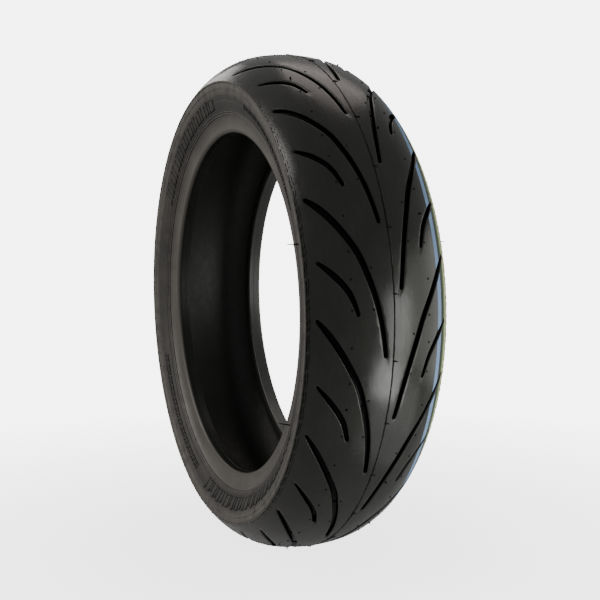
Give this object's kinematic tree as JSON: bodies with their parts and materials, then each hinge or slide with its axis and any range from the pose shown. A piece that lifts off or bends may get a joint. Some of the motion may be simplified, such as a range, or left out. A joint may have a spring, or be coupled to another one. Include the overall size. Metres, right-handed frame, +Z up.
{
  "type": "motorcycle tyre",
  "caption": "Wide radial rear motorcycle tyre off its rim: round-crowned grooved tread, low sidewalls and two wired beads that seat on a 17-inch rim.",
  "frame": {"origin": "centre of the tyre: on the spin axis, midway between the beads", "axes": "+Y along the spin axis, from the unpainted side to the side with the painted stripes; +Z up, with the tyre standing on its tread; X forward and back"},
  "size_m": [0.63, 0.1698, 0.63],
  "materials": {
    "tread_rubber": "satin",
    "sidewall_rubber": "satin",
    "bead_rubber": "satin",
    "chafer_rubber": "satin",
    "liner_rubber": "satin",
    "core_rubber": "matte",
    "ply_fabric": "matte",
    "belt_cord": "matte",
    "bead_wire": "satin",
    "paint_blue": "matte",
    "paint_green": "matte",
    "paint_cream": "matte"
  },
  "bodies": {
    "root": {"bead_filler_left": "core_rubber", "bead_filler_right": "core_rubber", "bead_rubber_left": "core_rubber", "bead_rubber_right": "core_rubber", "bead_wires_left": "bead_wire", "bead_wires_right": "bead_wire", "bead_wrap_left": "ply_fabric", "bead_wrap_right": "ply_fabric", "belt_inner": "ply_fabric", "belt_outer": "belt_cord", "carcass_inner": "ply_fabric", "carcass_outer": "ply_fabric", "chafer_left": "chafer_rubber", "chafer_right": "chafer_rubber", "edge_rib_left": "sidewall_rubber", "edge_rib_right": "sidewall_rubber", "inner_liner": "liner_rubber", "marking_panels_left": "sidewall_rubber", "marking_panels_right": "sidewall_rubber", "rim_cushion_left": "bead_rubber", "rim_cushion_right": "bead_rubber", "rim_lines_left": "sidewall_rubber", "rim_lines_right": "sidewall_rubber", "shoulder_cushion_left": "core_rubber", "shoulder_cushion_right": "core_rubber", "sidewall_left": "sidewall_rubber", "sidewall_right": "sidewall_rubber", "stripe_blue": "paint_blue", "stripe_cream": "paint_cream", "stripe_green": "paint_green", "tread_base": "core_rubber", "tread_cap": "tread_rubber", "tread_vents": "tread_rubber", "wear_bars": "tread_rubber"}
  },
  "joints": []
}
